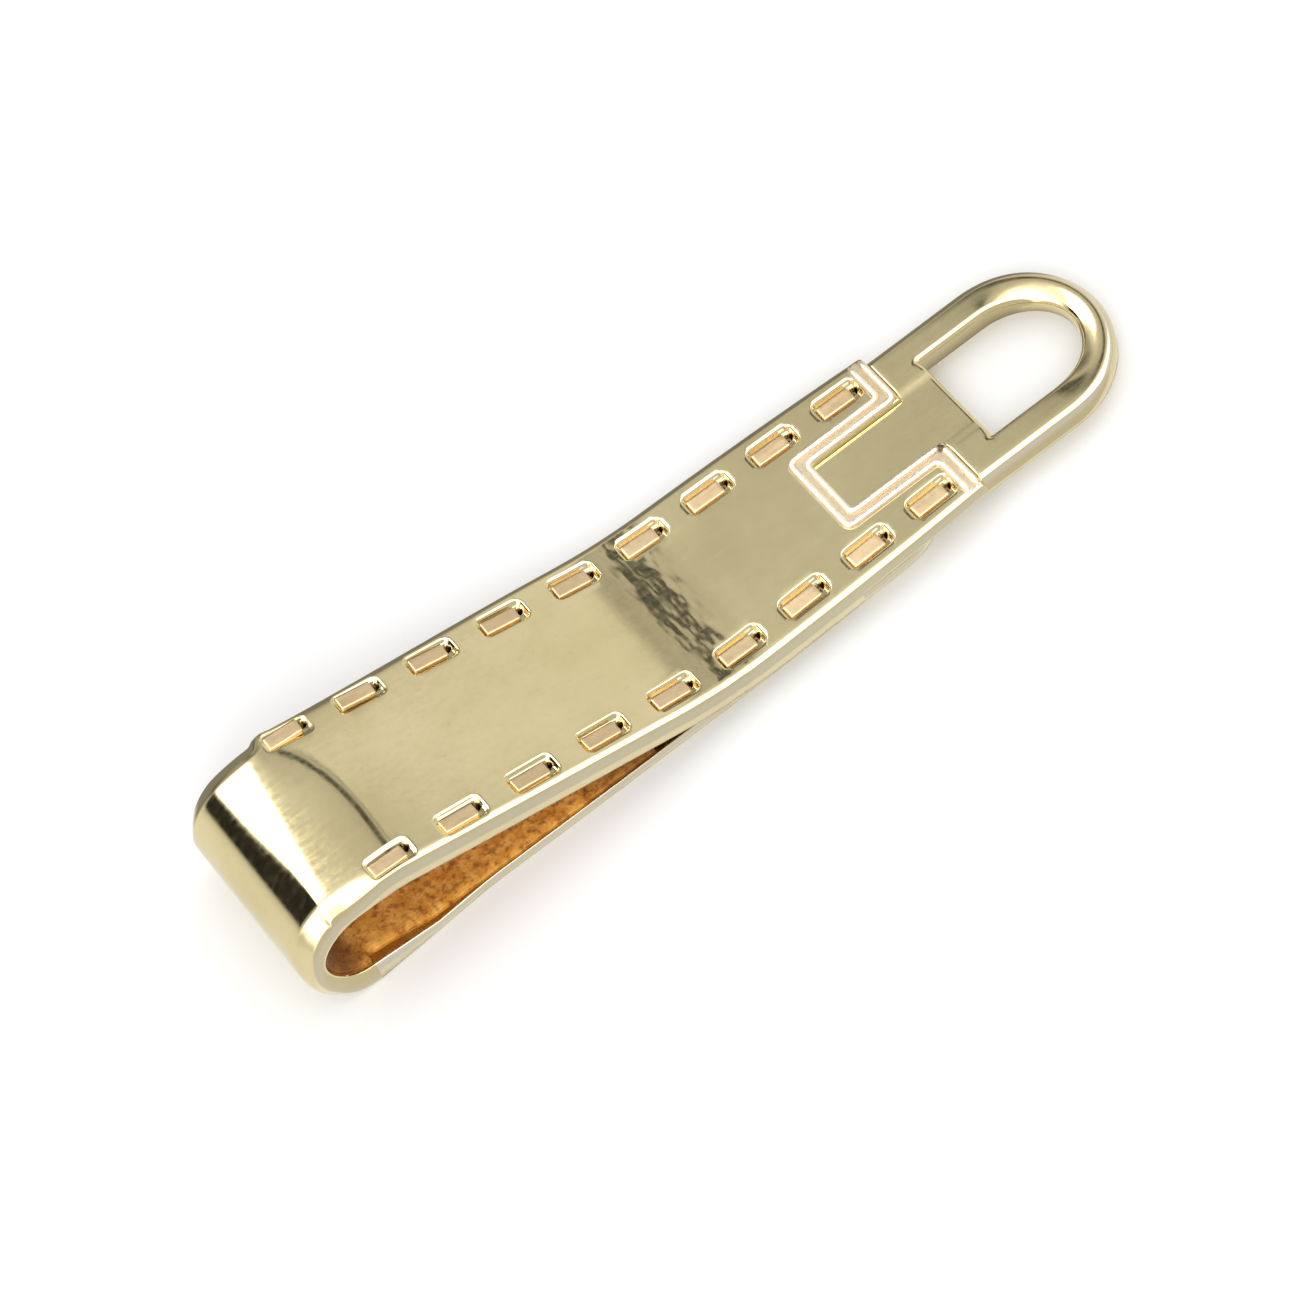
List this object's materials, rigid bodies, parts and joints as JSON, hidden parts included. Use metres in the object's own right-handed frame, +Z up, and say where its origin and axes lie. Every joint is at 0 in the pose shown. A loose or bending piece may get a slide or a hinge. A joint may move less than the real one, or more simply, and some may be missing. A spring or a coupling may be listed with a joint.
{
  "type": "money clip",
  "caption": "Spring money clip in polished pale gold, shaped as a stitched strap that ends in a D-shaped loop, with a lined jaw over a flat spring leg.",
  "frame": {"origin": "middle of the bounding box in plan, on the flat underside of the back leg", "axes": "+X along the clip from the bend to the loop's tip, +Y across the strap, +Z up from the back leg to the stitched face"},
  "size_m": [0.066, 0.0152, 0.0083],
  "materials": {
    "polished_gold": "mirror-polished pale gold plate over brass",
    "bright_border": "bright rounded beading in pale gold",
    "stitch_gold": "satin warm gold wire, laid in the slots",
    "underside": "satin pale gold, less polished",
    "lining": "tan napped leather"
  },
  "bodies": {
    "back": {"spring_bend": "polished_gold", "back_leg": "underside", "lining_bend": "lining", "lining_back": "lining"},
    "front": {"front_leg": "underside", "strap_plate": "polished_gold", "fork_border": "bright_border", "loop_frame": "polished_gold", "loop_rivets": "underside", "stitch_far_1": "stitch_gold", "stitch_far_2": "stitch_gold", "stitch_far_3": "stitch_gold", "stitch_far_4": "stitch_gold", "stitch_far_5": "stitch_gold", "stitch_far_6": "stitch_gold", "stitch_far_7": "stitch_gold", "stitch_far_8": "stitch_gold", "stitch_far_9": "stitch_gold", "stitch_near_1": "stitch_gold", "stitch_near_2": "stitch_gold", "stitch_near_3": "stitch_gold", "stitch_near_4": "stitch_gold", "stitch_near_5": "stitch_gold", "stitch_near_6": "stitch_gold", "stitch_near_7": "stitch_gold", "stitch_near_8": "stitch_gold", "stitch_near_9": "stitch_gold", "lining_front": "lining"}
  },
  "joints": [
    {"name": "clip_spring", "type": "hinge", "parent": "back", "child": "front", "pos_m": [-0.02885, 0, 0.00415], "axis": [0, -1, 0], "range_deg": [0, 8], "stiffness_Nm_per_rad": 1, "springref_deg": -2.86, "deforming": ["spring_bend", "lining_bend"]}
  ]
}
